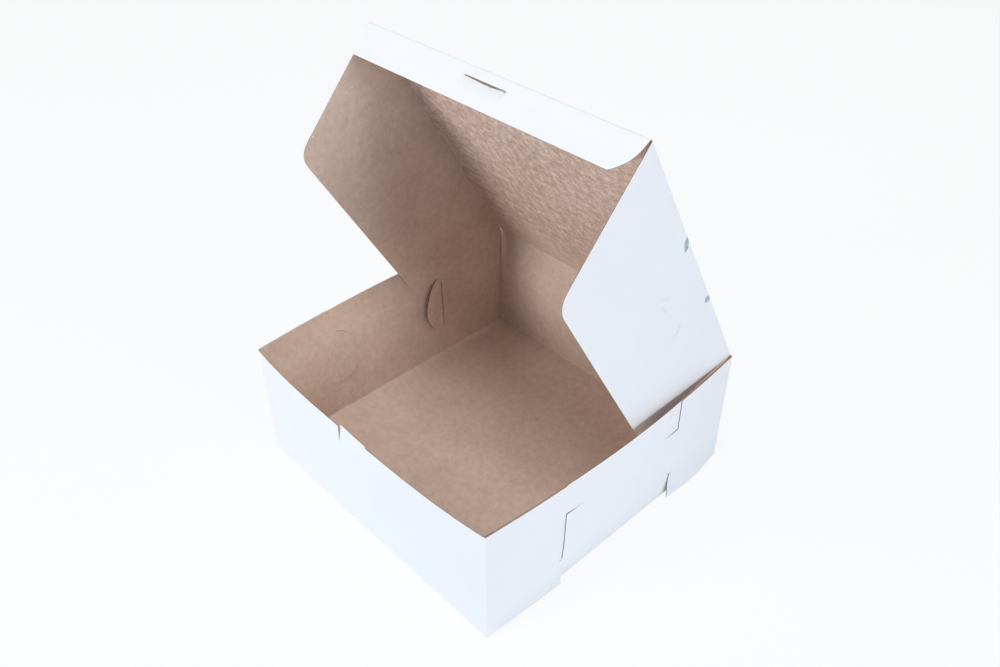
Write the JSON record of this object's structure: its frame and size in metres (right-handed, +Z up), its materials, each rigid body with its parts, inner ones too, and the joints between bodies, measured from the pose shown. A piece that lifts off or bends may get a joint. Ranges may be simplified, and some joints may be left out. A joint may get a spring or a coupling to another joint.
{
  "type": "bakery box",
  "caption": "Folding board bakery box with locked corners, standing open, with a hinged lid that has two side ears and a tuck flap.",
  "frame": {"origin": "centre of the underside of the tray's floor", "axes": "+Z up, -Y towards the front wall, +Y towards the lid's hinge, +X to the right seen from the front"},
  "size_m": [0.2672, 0.26, 0.3216],
  "materials": {
    "coated_board": "white clay coat outside, satin",
    "kraft_board": "bare brown kraft inside, matte"
  },
  "bodies": {
    "tray": {"tray": "coated_board"},
    "lid": {"lid_panel": "kraft_board"},
    "ear_left": {"ear_left": "kraft_board"},
    "ear_right": {"ear_right": "kraft_board"},
    "tuck_flap": {"tuck_flap": "kraft_board"}
  },
  "joints": [
    {"name": "lid_hinge", "type": "hinge", "parent": "tray", "child": "lid", "pos_m": [0, 0.12675, 0.10215], "axis": [-1, 0, 0], "range_deg": [-60.3, 119.7]},
    {"name": "ear_left_fold", "type": "hinge", "parent": "lid", "child": "ear_left", "pos_m": [-0.1248, 0.06399, 0.21167], "axis": [0, -0.4955, 0.8686], "range_deg": [0, 85]},
    {"name": "ear_right_fold", "type": "hinge", "parent": "lid", "child": "ear_right", "pos_m": [0.1248, 0.06399, 0.21167], "axis": [0, 0.4955, -0.8686], "range_deg": [0, 85]},
    {"name": "tuck_fold", "type": "hinge", "parent": "lid", "child": "tuck_flap", "pos_m": [0, 0.00145, 0.32131], "axis": [-1, 0, 0], "range_deg": [-30, 90]}
  ]
}
